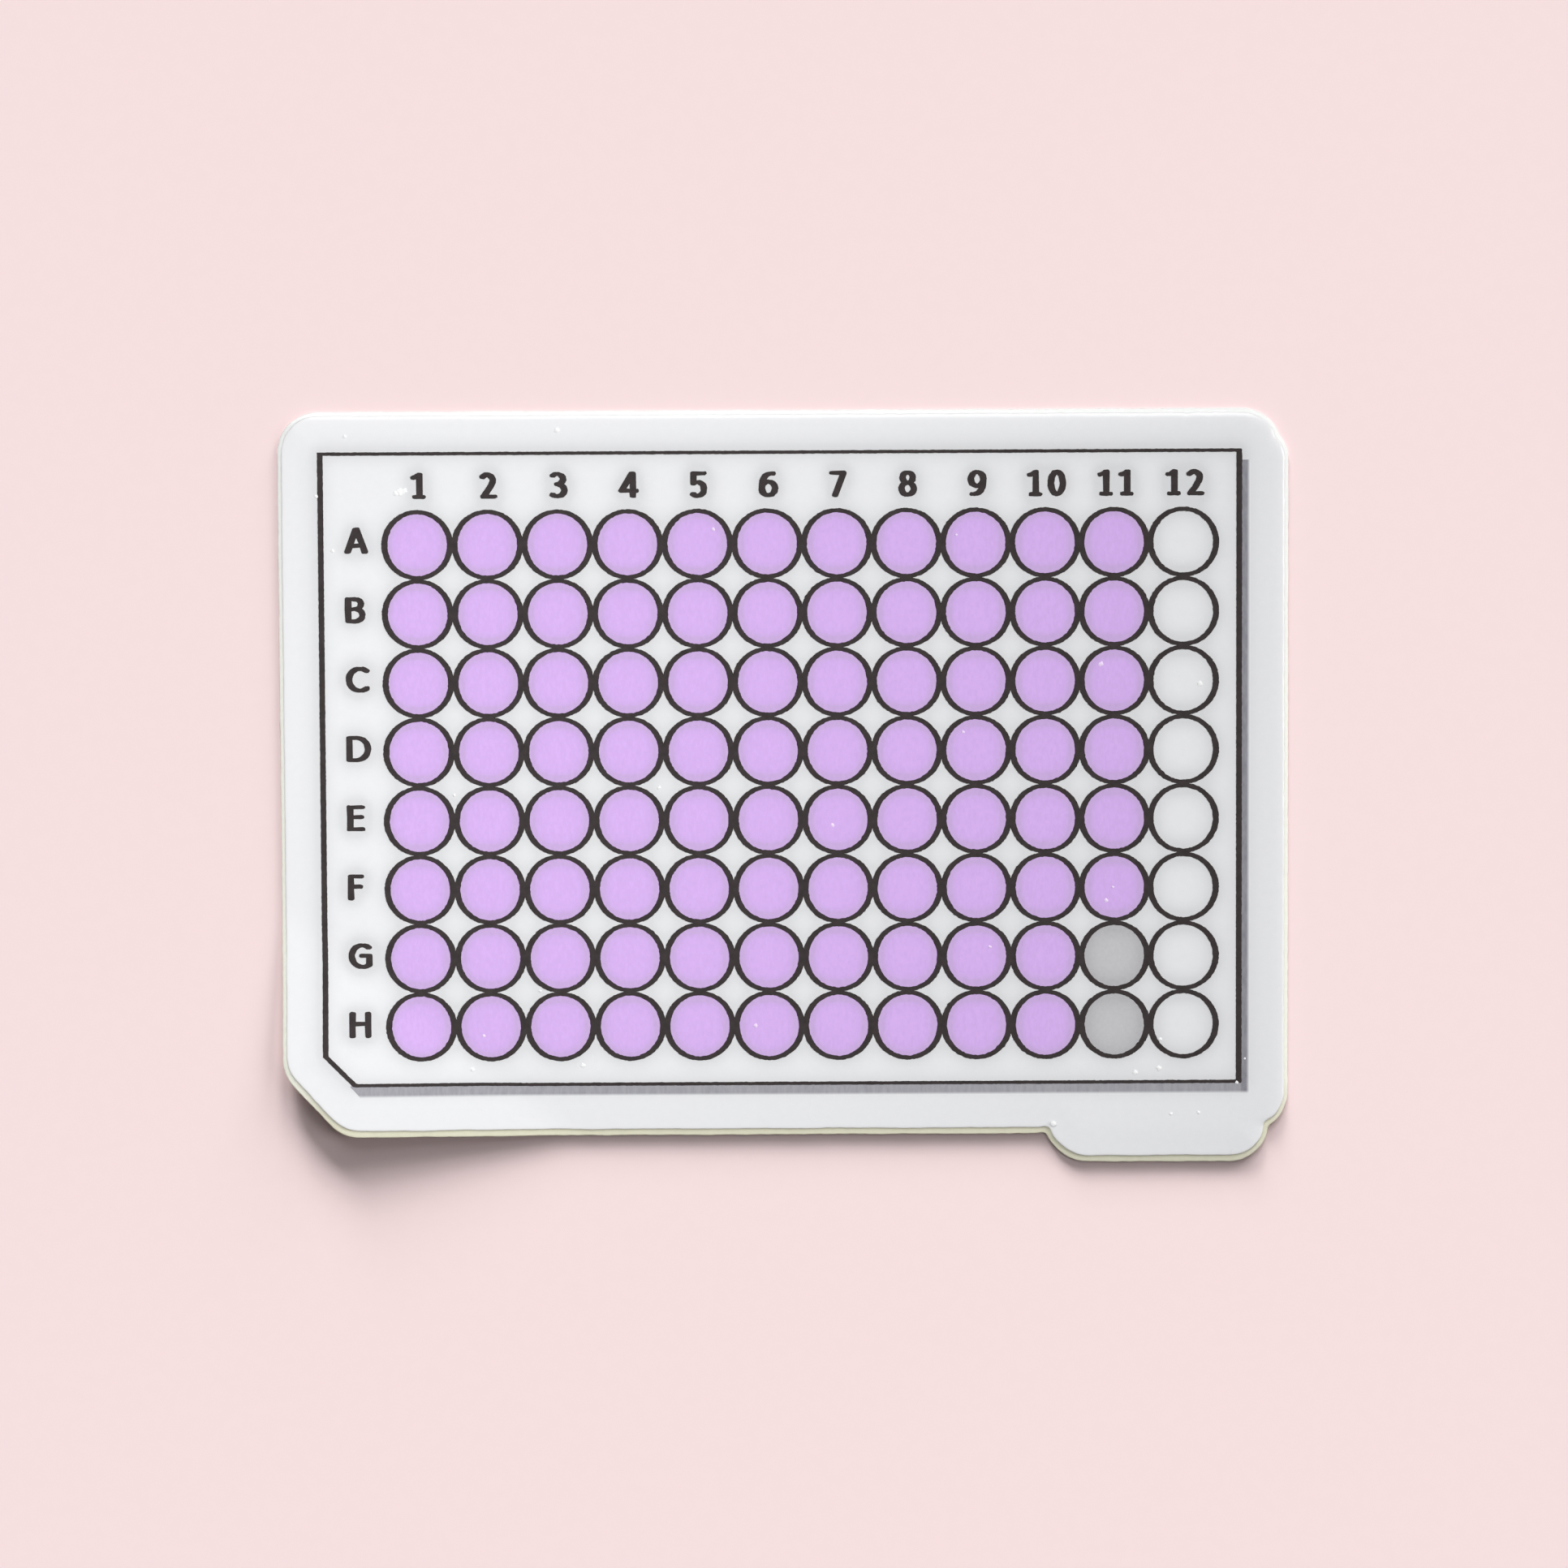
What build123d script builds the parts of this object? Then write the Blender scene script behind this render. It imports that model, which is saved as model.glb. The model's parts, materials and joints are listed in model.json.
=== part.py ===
from build123d import *
import os
from math import cos, radians, sin

# A die-cut sticker on its backing, lying printed side up with its lower left corner curled up.
# +X runs along the long side, +Y towards the top of the print and +Z out of the printed face.
# The origin is under the middle of the sheet's box, and the flat underside rests on Z = 0.
# Both layers follow one cut line: a rounded margin round the print's frame, shadow and label tab.

# Printed frame that the cut goes round, to the outside of its line
frame_width = 69.65
frame_height = 48.05
frame_corner_cut = 2.3  # 45 degree cut across the frame's lower left corner, measured along each side

# Drop shadow printed to the right of the frame and below it
shadow_right = 0.49
shadow_down = 0.69
shadow_start = 0.85  # how far below the frame's top the shadow's right strip begins

# Label strip under the frame that makes the tab
tab_width = 11.3
tab_inset = 0.9  # from the frame's right side to the strip's right end
tab_drop = 2.87  # from the frame's lower side to the strip's lower side
tab_corner_cut = 0.5  # 45 degree cut across the strip's lower left corner

# Cut margins round the print
film_margin = 2.73
liner_border = 0.3  # how far the backing shows past the film
film_shrinkage = 0.2  # the film has drawn back from the backing's lower side by this much more
bottom_allowance = 0.12  # the cut runs this much further out along the print's lower side

# Layers
film_thickness = 0.3
liner_thickness = 0.25
film_edge_radius = 0.12  # the cut rolls the film's upper edge over
liner_edge_radius = 0.06

# Curled corner: a bend that starts flat, turns up and runs on straight to the sheet's edge
curl_heading = 52.0  # degrees that the curl's uphill direction turns from -X towards -Y
curl_reach = 11.3  # from the line where the bend starts to the film's edge by the corner cut
curl_radius = 22.0
curl_angle = 5.6

# Places worked out from the sizes above
liner_margin = film_margin + liner_border
sheet_width = frame_width + shadow_right + 2 * liner_margin
sheet_height = frame_height + tab_drop + bottom_allowance + 2 * liner_margin
frame_left = -sheet_width / 2 + liner_margin
frame_right = frame_left + frame_width
frame_top = sheet_height / 2 - liner_margin
frame_bottom = frame_top - frame_height
uphill = Vector(-cos(radians(curl_heading)), -sin(radians(curl_heading)), 0)
corner_cut_end = Vector(frame_left + frame_corner_cut + shadow_right, frame_bottom - shadow_down, 0)
curl_start = corner_cut_end.dot(uphill) + film_margin - curl_reach
sheet_reach = sheet_width + sheet_height  # longer than any line across the sheet


def cut_corner_panel(left, bottom, right, top, corner_cut):
    """A rectangle with its lower left corner cut."""
    return Polygon(
        (left, top),
        (left, bottom + corner_cut),
        (left + corner_cut, bottom),
        (right, bottom),
        (right, top),
        align=None,
    )


def print_field(lowered):
    """The frame, its shadow and the label strip, with their lower sides moved down."""
    frame = cut_corner_panel(frame_left, frame_bottom - lowered, frame_right, frame_top, frame_corner_cut)
    shadow = cut_corner_panel(
        frame_left + shadow_right,
        frame_bottom - shadow_down - lowered,
        frame_right + shadow_right,
        frame_top - shadow_start,
        frame_corner_cut,
    )
    strip_right = frame_right - tab_inset
    strip = cut_corner_panel(
        strip_right - tab_width,
        frame_bottom - tab_drop - lowered,
        strip_right,
        frame_bottom,
        tab_corner_cut,
    )
    return frame + shadow + strip


def cut_line(margin, lowered):
    """The field's outline moved out by margin, with round corners."""
    return offset(print_field(lowered), amount=margin, kind=Kind.ARC)


def curled_slab(below, above):
    """A wide slab between two heights over the underside, bent up along the curl."""
    run_on = curl_reach + sheet_width / 4
    lower_flat = Line((-sheet_reach, below), (curl_start, below))
    lower_arc = JernArc(lower_flat @ 1, (1, 0), curl_radius - below, curl_angle)
    lower_flap = Line(lower_arc @ 1, lower_arc @ 1 + lower_arc % 1 * run_on)
    upper_flat = Line((-sheet_reach, above), (curl_start, above))
    upper_arc = JernArc(upper_flat @ 1, (1, 0), curl_radius - above, curl_angle)
    upper_flap = Line(upper_arc @ 1, upper_arc @ 1 + upper_arc % 1 * run_on)
    inner_end = Line(lower_flat @ 0, upper_flat @ 0)
    outer_end = Line(lower_flap @ 1, upper_flap @ 1)
    edges = [lower_flat, lower_arc, lower_flap, outer_end, upper_flap, upper_arc, upper_flat, inner_end]
    section_plane = Plane(origin=(0, 0, 0), x_dir=uphill, z_dir=uphill.cross(Vector(0, 0, 1)))
    return extrude(section_plane * make_face(edges), amount=sheet_reach, both=True)


def upper_rim(sheet):
    """The edges where the sheet's upper faces meet its cut sides."""
    upper_faces = sheet.faces().filter_by(lambda face: face.normal_at().Z > 0.5)
    sides = sheet.faces().filter_by(lambda face: abs(face.normal_at().Z) < 0.5)
    side_edges = sides.edges()
    return ShapeList([edge for edge in upper_faces.edges() if edge in side_edges])


def layer(outline, below, above, edge_radius):
    """One layer of the sheet, with its upper rim rounded over all the way round."""
    sheet = curled_slab(below, above) & extrude(outline, amount=sheet_height)
    return fillet(upper_rim(sheet), edge_radius)


def main():
    os.makedirs("parts", exist_ok=True)
    liner_outline = cut_line(liner_margin, bottom_allowance)
    film_outline = cut_line(film_margin, bottom_allowance - film_shrinkage)
    film_top = liner_thickness + film_thickness
    liner = layer(liner_outline, 0.0, liner_thickness, liner_edge_radius)
    film = layer(film_outline, liner_thickness, film_top, film_edge_radius)
    for name, part in (("release_liner", liner), ("face_film", film)):
        print(name, part.is_valid, part.volume, part.bounding_box())
        export_step(part, f"parts/{name}.step")


main()
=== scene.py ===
import json
import math

import bpy
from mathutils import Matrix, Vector, noise
from mathutils.geometry import convex_hull_2d, delaunay_2d_cdt
from mathutils.kdtree import KDTree

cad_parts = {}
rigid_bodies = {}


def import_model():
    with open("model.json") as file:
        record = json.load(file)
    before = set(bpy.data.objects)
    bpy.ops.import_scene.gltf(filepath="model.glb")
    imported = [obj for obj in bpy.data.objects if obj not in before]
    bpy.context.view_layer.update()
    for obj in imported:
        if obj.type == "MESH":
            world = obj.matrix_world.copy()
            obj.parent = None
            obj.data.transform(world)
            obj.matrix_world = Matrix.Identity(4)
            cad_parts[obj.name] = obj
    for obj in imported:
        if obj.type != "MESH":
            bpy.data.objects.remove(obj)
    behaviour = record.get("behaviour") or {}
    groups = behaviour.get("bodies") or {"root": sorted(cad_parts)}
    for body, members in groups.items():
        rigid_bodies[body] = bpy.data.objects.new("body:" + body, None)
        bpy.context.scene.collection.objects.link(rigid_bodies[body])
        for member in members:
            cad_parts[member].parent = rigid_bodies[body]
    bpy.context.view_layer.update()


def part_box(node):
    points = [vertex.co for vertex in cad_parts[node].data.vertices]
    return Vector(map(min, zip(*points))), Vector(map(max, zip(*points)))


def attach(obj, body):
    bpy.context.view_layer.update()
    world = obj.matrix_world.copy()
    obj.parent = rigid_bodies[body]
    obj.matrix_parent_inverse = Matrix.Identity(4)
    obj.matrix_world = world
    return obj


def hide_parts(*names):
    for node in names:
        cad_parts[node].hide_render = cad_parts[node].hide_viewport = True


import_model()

# A die-cut sticker on its backing, printed with a plan of a 96-well plate.
# Lengths are in millimetres, and place() or MM turns them into the frame's metres.
MM = 0.001
BODY = "root"

# Printed frame, its drop shadow and the bare label strip that makes the tab, as in the CAD
FRAME_WIDTH = 69.65
FRAME_HEIGHT = 48.05
CORNER_CUT = 2.3
SHADOW_RIGHT = 0.49
SHADOW_DOWN = 0.69
SHADOW_START = 0.85
TAB_WIDTH = 11.3
TAB_INSET = 0.9
TAB_DROP = 2.87
TAB_CORNER_CUT = 0.5

# Cut margins and layers, as in the CAD
FILM_MARGIN = 2.73
LINER_MARGIN = 3.03
BOTTOM_ALLOWANCE = 0.12
FILM_SHRINKAGE = 0.2
LINER_THICKNESS = 0.25
FILM_TOP = 0.55

# Curled corner, as in the CAD
CURL_HEADING = math.radians(52.0)
CURL_REACH = 11.3
CURL_RADIUS = 22.0
CURL_ANGLE = math.radians(5.6)

# Places worked out from the CAD's backing and the sizes above
SHEET_LOW, SHEET_HIGH = (Vector(corner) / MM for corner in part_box("release_liner"))
FRAME_LEFT = SHEET_LOW.x + LINER_MARGIN
FRAME_RIGHT = FRAME_LEFT + FRAME_WIDTH
FRAME_TOP = SHEET_HIGH.y - LINER_MARGIN
FRAME_BOTTOM = FRAME_TOP - FRAME_HEIGHT
UPHILL = Vector((-math.cos(CURL_HEADING), -math.sin(CURL_HEADING)))
CORNER_CUT_END = Vector((FRAME_LEFT + CORNER_CUT + SHADOW_RIGHT, FRAME_BOTTOM - SHADOW_DOWN))
CURL_START = CORNER_CUT_END.dot(UPHILL) + FILM_MARGIN - CURL_REACH
BEND_RUN = CURL_RADIUS * math.sin(CURL_ANGLE)

# Wells, counted from 0 at the upper left; the last column's are left white
COLUMN_COUNT = 12
ROW_COUNT = 8
GREY_WELLS = [(10, 6), (10, 7)]
PURPLE_WELLS = [
    (column, row)
    for column in range(COLUMN_COUNT - 1)
    for row in range(ROW_COUNT)
    if (column, row) not in GREY_WELLS
]

# Sizes of the wells, and the first one's place in from the frame's left and down from its top
FIRST_WELL = (7.48, 7.0)
WELL_PITCH = (5.249, 5.216)
COLUMN_DRIFT = 0.13  # the middle columns are printed this much further right
RING_OUTER = (2.705, 2.645)
RING_INNER = (2.24, 2.32)
WELL_FILL = (2.42, 2.45)

# The printer's lines are wider across the sheet than up it
LINE_WIDE = 0.43
LINE_HIGH = 0.25
PEN_WIDE = 0.5
PEN_HIGH = 0.31

# Labels
LABEL_HEIGHT = 1.98
NUMBER_DROP = 2.53  # from the frame's top to the middle of the numbers
NUMBER_SHIFT = 0.12  # numbers stand this far right of their column's middle
LETTER_INSET = 1.99
LETTER_RISE = 0.36  # the first letter stands this far above its row's middle
LETTER_PITCH = 5.242
DIGIT_GAP = 0.37

# Heights of the print over the film; each colour overlaps the one under it
PRINT_ROOT = -0.008
SHADOW_INK = 0.008
WELL_INK = 0.013
LINE_INK = 0.022
SHADOW_BLUR = 0.15  # how far each side of its rim the printed shadow fades

# Light that enters the film beside the line ink is lost under it
INK_SCATTER = 0.4  # the distance at which that falls off
INK_SPOT_GAP = 0.2  # between the points that stand for the ink
INK_NEAR_FULL = 3.2  # what those points add up to at the edge of a line

# Fineness of the meshes
ARC_STEP = 0.15
CUT_STEP = 0.22
FRAME_LINE_STEP = 0.16
SHADOW_STEP = 0.3
MERGE_GAP = 1e-5  # points of the plan nearer than this become one
INSIDE_ONLY = 1  # the triangulation's kind of output: only what the loops enclose
HARD_EDGE = math.radians(40.0)  # edges sharper than this aren't smoothed over

# How far the cut strays, slowly and quickly, and the length over which it does
SLOW_FAULT = 0.025
BOTTOM_SLOW_FAULT = 0.05
SLOW_FAULT_PITCH = 2.6
QUICK_FAULT = 0.015
QUICK_FAULT_PITCH = 0.7
RAGGED_PITCH = 0.45

# Uneven edges of the print
INK_EDGE_PITCH = 0.17
RING_ROUGHNESS = 0.045
FRAME_ROUGHNESS = 0.028
SHADOW_ROUGHNESS = 0.03
SHADOW_EDGE_PITCH = 0.5

# Colours
WHITE_FILM = (0.855, 0.858, 0.872)
LINE_BLACK = (0.047, 0.038, 0.038)
PURPLE = (0.7, 0.455, 0.89)
GREY = (0.58, 0.57, 0.59)
SHADOW_GREY = (0.25, 0.245, 0.28)
BOTTOM_STRIP_STRENGTH = 0.86  # the printed shadow is paler under the frame than at its right
# Specks paler than the white film and the purple ink under them: painted highlight where the domes catch the
# light
SPECK_HIGHLIGHT_PURPLE = (0.88, 0.72, 0.97)
SPECK_HIGHLIGHT_WHITE = (0.97, 0.97, 0.97)
FLOOR_PINK = (0.93, 0.742, 0.742)
FIBRE_SHADES = ((0.95, 0.95, 0.94), (1.0, 1.0, 1.0))

# The shade of white and of purple for how much line ink is near
WHITE_STOPS = (
    (0.0, (1.0, 1.0, 1.0)),
    (1.0, (0.85, 0.85, 0.85)),
)
PURPLE_STOPS = (
    (0.0, (1.0, 1.0, 1.0)),
    (0.36, (0.98, 0.985, 0.98)),
    (0.65, (0.93, 0.96, 0.925)),
    (0.9, (0.87, 0.94, 0.84)),
)

# The backing's colour from its lower side, 0, to its upper side, 1: its own pale cream, with painted shade
# that makes it darker and tan towards the lower side and painted light that makes it whiter towards the upper
# side
LINER_COLOURS_AND_SHADE = (
    (0.0, (0.72, 0.71, 0.56)),
    (0.05, (0.79, 0.77, 0.6)),
    (0.12, (0.93, 0.94, 0.83)),
    (0.6, (0.96, 0.97, 0.89)),
    (1.0, (0.96, 0.98, 0.97)),
)

# Scales of the noise in the materials, in features a metre
GLOSS_PATCHES = 160.0
ORANGE_PEEL = 900.0
FILM_GRAIN = 1800.0
INK_GRAIN = 4500.0
PAPER_FIBRE = 2600.0
CARD_GRAIN = 900.0
NOISE_MIDDLE = (0.3, 0.7)  # nearly all of a noise's values lie between these

# The noise's scale along each axis; less than 1 draws it out
EVEN = (1.0, 1.0, 1.0)
PURPLE_STREAKS = (1.0, 0.5, 1.0)
SHADOW_STREAKS = (1.0, 0.3, 1.0)
PAPER_LAYERS = (1.0, 1.0, 3.0)

# Finish of the surfaces. Pairs are the least and the most, and the bumps' depths are in metres
LAMINATE_ROUGHNESS = (0.2, 0.28)
LAMINATE_IOR = 1.48
PEEL_STRENGTH = 0.1
PEEL_DEPTH = 0.00004
LINER_ROUGHNESS = (0.5, 0.65)
FIBRE_STRENGTH = 0.4
FIBRE_DEPTH = 0.00002
FLOOR_ROUGHNESS = 0.9
FLOOR_MOTTLE = 0.005
STREAK_STRENGTHS = (0.88, 1.0)

# Distant lamps: name, heading from +Y towards +X, elevation, angle, share of a level sheet's light
STICKER_SUNS = (
    ("key_sun", 10.0, 46.0, 30.0, 0.3),
    ("rim_sun", 82.0, 27.0, 26.0, 0.215),
)
FLOOR_SUNS = (
    ("left_low_sun", -12.0, 11.5, 14.0, 0.31),
    ("top_low_sun", 6.0, 17.0, 15.0, 0.24),
    ("right_low_sun", 35.0, 14.0, 20.0, 0.16),
    ("high_sun", -12.0, 40.0, 34.0, 0.095),
    ("right_sun", 90.0, 32.0, 26.0, 0.095),
)

# A near lamp: its middle, its side, and its share of the light on a level sheet at the middle
SOFTBOX_SPOT = (-36.0, 4.0, 110.0)
SOFTBOX_SIZE = 80.0
SOFTBOX_SHARE = 0.475

# Even light from all round
WORLD_COLOUR = (0.97, 1.0, 1.0, 1.0)
WORLD_STRENGTH = 0.1

# The floor's half width, and how far it lies under the sheet so that the two don't meet
FLOOR_REACH = 3000.0
FLOOR_GAP = 0.02

# Camera, almost straight above and leaning a little towards the print's top
CAMERA_AIM = (0.1, 0.355, FILM_TOP)
CAMERA_DISTANCE = 400.0
CAMERA_LEAN = math.radians(3.86)
CAMERA_ROLL = math.radians(-0.265)
CAMERA_LENS = 121.49
CAMERA_SENSOR = 36.0


# ---------------------------------------------------------------- plan and placing

def place(point, height):
    """Where a point of the flat sheet lies once the corner is curled, in metres."""
    past = point[0] * UPHILL.x + point[1] * UPHILL.y - CURL_START
    if past <= 0.0:
        tilt = 0.0
        lift = 0.0
    elif past < BEND_RUN:
        tilt = math.asin(past / CURL_RADIUS)
        lift = CURL_RADIUS * (1.0 - math.cos(tilt))
    else:
        tilt = CURL_ANGLE
        lift = CURL_RADIUS * (1.0 - math.cos(tilt)) + (past - BEND_RUN) * math.tan(tilt)
    slide = -math.sin(tilt) * height
    x = point[0] + UPHILL.x * slide
    y = point[1] + UPHILL.y * slide
    z = lift + math.cos(tilt) * height
    return Vector((x * MM, y * MM, z * MM))


def evenly(loop, step):
    """The same closed loop with its points spread evenly, about step apart."""
    closed = loop + loop[:1]
    lengths = [(b - a).length for a, b in zip(closed, closed[1:])]
    total = sum(lengths)
    count = max(8, round(total / step))
    points = []
    edge = 0
    passed = 0.0
    for index in range(count):
        wanted = total * index / count
        while passed + lengths[edge] < wanted:
            passed += lengths[edge]
            edge += 1
        part = (wanted - passed) / lengths[edge]
        points.append(closed[edge].lerp(closed[edge + 1], part))
    return points


def softened(loop, passes):
    """The loop with its sharp dips eased out."""
    for _ in range(passes):
        loop = [(a + b * 2 + c) / 4 for a, b, c in zip(loop[-1:] + loop[:-1], loop, loop[1:] + loop[:1])]
    return loop


def waver(point, pitch, seed):
    """A smooth random value from about -1 to 1 that depends on the place alone."""
    return noise.noise(Vector((point[0] / pitch, point[1] / pitch, seed)))


def roughened(loop, size, pitch, seed):
    """The loop with the uneven edge that printed ink has."""
    other_seed = seed + 7.3
    return [
        point + Vector((waver(point, pitch, seed), waver(point, pitch, other_seed))) * size
        for point in loop
    ]


def outward(loop):
    """The outward direction at each point of a clockwise loop."""
    directions = []
    for before, after in zip(loop[-1:] + loop[:-1], loop[1:] + loop[:1]):
        along = (after - before).normalized()
        directions.append(Vector((-along.y, along.x)))
    return directions


def ellipse(centre, radii, count):
    """A counter-clockwise ellipse."""
    turns = [2 * math.pi * index / count for index in range(count)]
    return [Vector((centre[0] + radii[0] * math.cos(t), centre[1] + radii[1] * math.sin(t))) for t in turns]


# ---------------------------------------------------------------- meshes

def add_piece(name, vertices, faces, material):
    """A smooth-shaded mesh object that rides on the sticker, with its hard edges kept."""
    mesh = bpy.data.meshes.new(name)
    mesh.from_pydata(vertices, [], faces)
    mesh.validate()
    mesh.polygons.foreach_set("use_smooth", [True] * len(mesh.polygons))
    mesh.set_sharp_from_angle(angle=HARD_EDGE)
    mesh.materials.append(material)
    piece = bpy.data.objects.new(name, mesh)
    bpy.context.scene.collection.objects.link(piece)
    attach(piece, BODY)
    return piece


def fill(regions, spares=()):
    """Triangles over the union of the regions. A region is an outer loop, then the holes in it."""
    points = []
    loops = []
    owners = []
    for number, region in enumerate(regions):
        for order, loop in enumerate(region):
            loops.append(list(range(len(points), len(points) + len(loop))))
            owners.append((number, order > 0))
            points += loop
    points += spares
    flat, _, triangles, _, _, sources = delaunay_2d_cdt(points, [], loops, INSIDE_ONLY, MERGE_GAP)
    kept = []
    for triangle, inside in zip(triangles, sources):
        covered = {owners[loop][0] for loop in inside if not owners[loop][1]}
        cut_out = {owners[loop][0] for loop in inside if owners[loop][1]}
        if covered - cut_out:
            kept.append(triangle)
    return flat, kept


def open_edges(triangles):
    """The edges that only one triangle has, in that triangle's direction."""
    edges = {(t[i], t[(i + 1) % 3]) for t in triangles for i in range(3)}
    return [(a, b) for a, b in sorted(edges) if (b, a) not in edges]


def slab(name, flat, triangles, top, material):
    """A thin closed slab of print over the triangles, rooted in the film and up to a height over its face."""
    used = sorted({corner for triangle in triangles for corner in triangle})
    order = {corner: index for index, corner in enumerate(used)}
    count = len(used)
    vertices = [place(flat[corner], FILM_TOP + top) for corner in used]
    vertices += [place(flat[corner], FILM_TOP + PRINT_ROOT) for corner in used]
    faces = []
    for a, b, c in triangles:
        faces.append((order[a], order[b], order[c]))
        faces.append((order[c] + count, order[b] + count, order[a] + count))
    for a, b in open_edges(triangles):
        faces.append((order[a], order[a] + count, order[b] + count, order[b]))
    return add_piece(name, vertices, faces, material)


# ---------------------------------------------------------------- the two layers

def cut_line(margin, lowered):
    """The die's line round the print, clockwise: arcs about its corners and the runs between them."""
    top = FRAME_TOP
    bottom = FRAME_BOTTOM - lowered
    shadow_right = FRAME_RIGHT + SHADOW_RIGHT
    shadow_bottom = bottom - SHADOW_DOWN
    tab_right = FRAME_RIGHT - TAB_INSET
    tab_left = tab_right - TAB_WIDTH
    tab_bottom = bottom - TAB_DROP
    corners = [
        (Vector((FRAME_LEFT, top)), "run"),
        (Vector((FRAME_RIGHT, top)), "dip"),
        (Vector((shadow_right, top - SHADOW_START)), "run"),
        (Vector((shadow_right, shadow_bottom)), "dip"),
        (Vector((tab_right, tab_bottom)), "run"),
        (Vector((tab_left + TAB_CORNER_CUT, tab_bottom)), "run"),
        (Vector((tab_left, tab_bottom + TAB_CORNER_CUT)), "step"),
        (Vector((FRAME_LEFT + SHADOW_RIGHT + CORNER_CUT, shadow_bottom)), "run"),
        (Vector((FRAME_LEFT, bottom + CORNER_CUT)), "run"),
    ]
    arrivals = [0.0] * len(corners)
    departures = [0.0] * len(corners)
    for index, (centre, join) in enumerate(corners):
        later = (index + 1) % len(corners)
        following = corners[later][0]
        across = following - centre
        out = Vector((-across.y, across.x)).normalized()
        if join == "run":
            leave = out * margin
            arrive = out * margin
        elif join == "dip":
            meet = (centre + following) / 2 + out * math.sqrt(margin**2 - across.length_squared / 4)
            leave = meet - centre
            arrive = meet - following
        else:
            fall = following.y - margin - centre.y
            leave = Vector((-math.sqrt(margin**2 - fall**2), fall))
            arrive = Vector((0.0, -margin))
        departures[index] = math.atan2(leave.y, leave.x)
        arrivals[later] = math.atan2(arrive.y, arrive.x)
    loop = []
    for (centre, _), start, end in zip(corners, arrivals, departures):
        sweep = (start - end) % (2 * math.pi)
        steps = max(2, round(sweep * margin / ARC_STEP))
        for step in range(steps + 1):
            turn = start - sweep * step / steps
            loop.append(centre + Vector((math.cos(turn), math.sin(turn))) * margin)
    return softened(evenly(loop, CUT_STEP), passes=2)


def on_print(across, down):
    """A point given as in from the frame's left and down from its top."""
    return Vector((FRAME_LEFT + across, FRAME_TOP - down))


def cut_faults(loop, seed, nicks):
    """How far out each point of the loop strays: the slow waver of a worn die, and nicks pressed into it."""
    quick_seed = seed + 3.1
    faults = []
    for point in loop:
        along_bottom = point.y < FRAME_BOTTOM - SHADOW_DOWN
        slow_fault = BOTTOM_SLOW_FAULT if along_bottom else SLOW_FAULT
        fault = slow_fault * waver(point, SLOW_FAULT_PITCH, seed)
        fault += QUICK_FAULT * waver(point, QUICK_FAULT_PITCH, quick_seed)
        for across, down, depth, width in nicks:
            away = (point - on_print(across, down)).length
            fault -= depth * math.exp(-((away / width) ** 2))
        faults.append(fault)
    return faults


def cap(loop, first, vertices, height, spacing, upwards):
    """Closes a row of rim vertices with triangles, with a grid of points to follow the curl."""
    rim = KDTree(len(loop))
    for index, point in enumerate(loop):
        rim.insert(point.to_3d(), index)
    rim.balance()
    clearance = 0.6 * spacing
    grid = []
    for column in range(math.ceil((SHEET_HIGH.x - SHEET_LOW.x) / spacing)):
        for row in range(math.ceil((SHEET_HIGH.y - SHEET_LOW.y) / spacing)):
            point = Vector((SHEET_LOW.x + (column + 0.5) * spacing, SHEET_LOW.y + (row + 0.5) * spacing))
            if rim.find(point.to_3d())[2] > clearance:
                grid.append(point)
    around = list(range(len(loop)))[::-1]
    flat, _, triangles, origins, _, _ = delaunay_2d_cdt(loop + grid, [], [around], INSIDE_ONLY, MERGE_GAP)
    order = {}
    for triangle in triangles:
        for corner in triangle:
            if corner not in order and origins[corner][0] < len(loop):
                order[corner] = first + origins[corner][0]
            elif corner not in order:
                order[corner] = len(vertices)
                vertices.append(place(flat[corner], height))
    faces = [tuple(order[corner] for corner in triangle) for triangle in triangles]
    return faces if upwards else [face[::-1] for face in faces]


def layer(name, outline, faults, rows, face_spacing, roughness, seed, material):
    """A closed sheet whose rim climbs from underside to face in rows.

    Its outline strays by the faults, and its lower rows are ragged by the roughness.
    """
    outs = outward(outline)
    easing = [[min(1.0, max(0.0, out.dot(side) / FULLY_EASED)) for side in EASED_SIDES] for out in outs]
    reach = rows[-1][0]
    count = len(outline)
    vertices = []
    loops = []
    for number, (inset, height, *dips) in enumerate(rows):
        ragged = roughness if inset < RAGGED_INSET else 0.0
        row_seed = seed + number * 0.35  # near the last row's, so that the two are ragged alike
        loop = []
        for point, out, fault, shares in zip(outline, outs, faults, easing):
            shift = fault * (1 - max(inset, 0.0) / reach) - inset
            shift -= ragged * waver(point, RAGGED_PITCH, row_seed)
            loop.append(point + out * shift)
            drop = sum(dip * share for dip, share in zip(dips, shares))
            vertices.append(place(loop[-1], height - drop))
        loops.append(loop)
    faces = []
    for number in range(len(rows) - 1):
        for index in range(count):
            after = (index + 1) % count
            below = number * count
            above = below + count
            faces.append((below + index, above + index, above + after, below + after))
    faces += cap(loops[0], 0, vertices, rows[0][1], spacing=1.0, upwards=False)
    faces += cap(loops[-1], (len(rows) - 1) * count, vertices, rows[-1][1], face_spacing, upwards=True)
    return add_piece(name, vertices, faces, material)


# Nicks in the cut: in from the frame's left, down from its top, depth, half width
LINER_NICKS = (
    (72.6, -1.1, 0.06, 0.5),
    (71.8, 51.4, 0.06, 0.5),
    (54.8, 51.9, 0.1, 0.5),
    (-0.4, 49.3, 0.07, 0.2),
)
FILM_NICKS = (
    (72.3, -0.9, 0.13, 0.5),
    (71.5, 51.2, 0.13, 0.5),
    (54.9, 51.6, 0.15, 0.5),
    (-0.2, 49.1, 0.09, 0.25),
    (65.5, -2.7, 0.07, 0.16),
    (67.2, -2.7, 0.07, 0.16),
)


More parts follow.
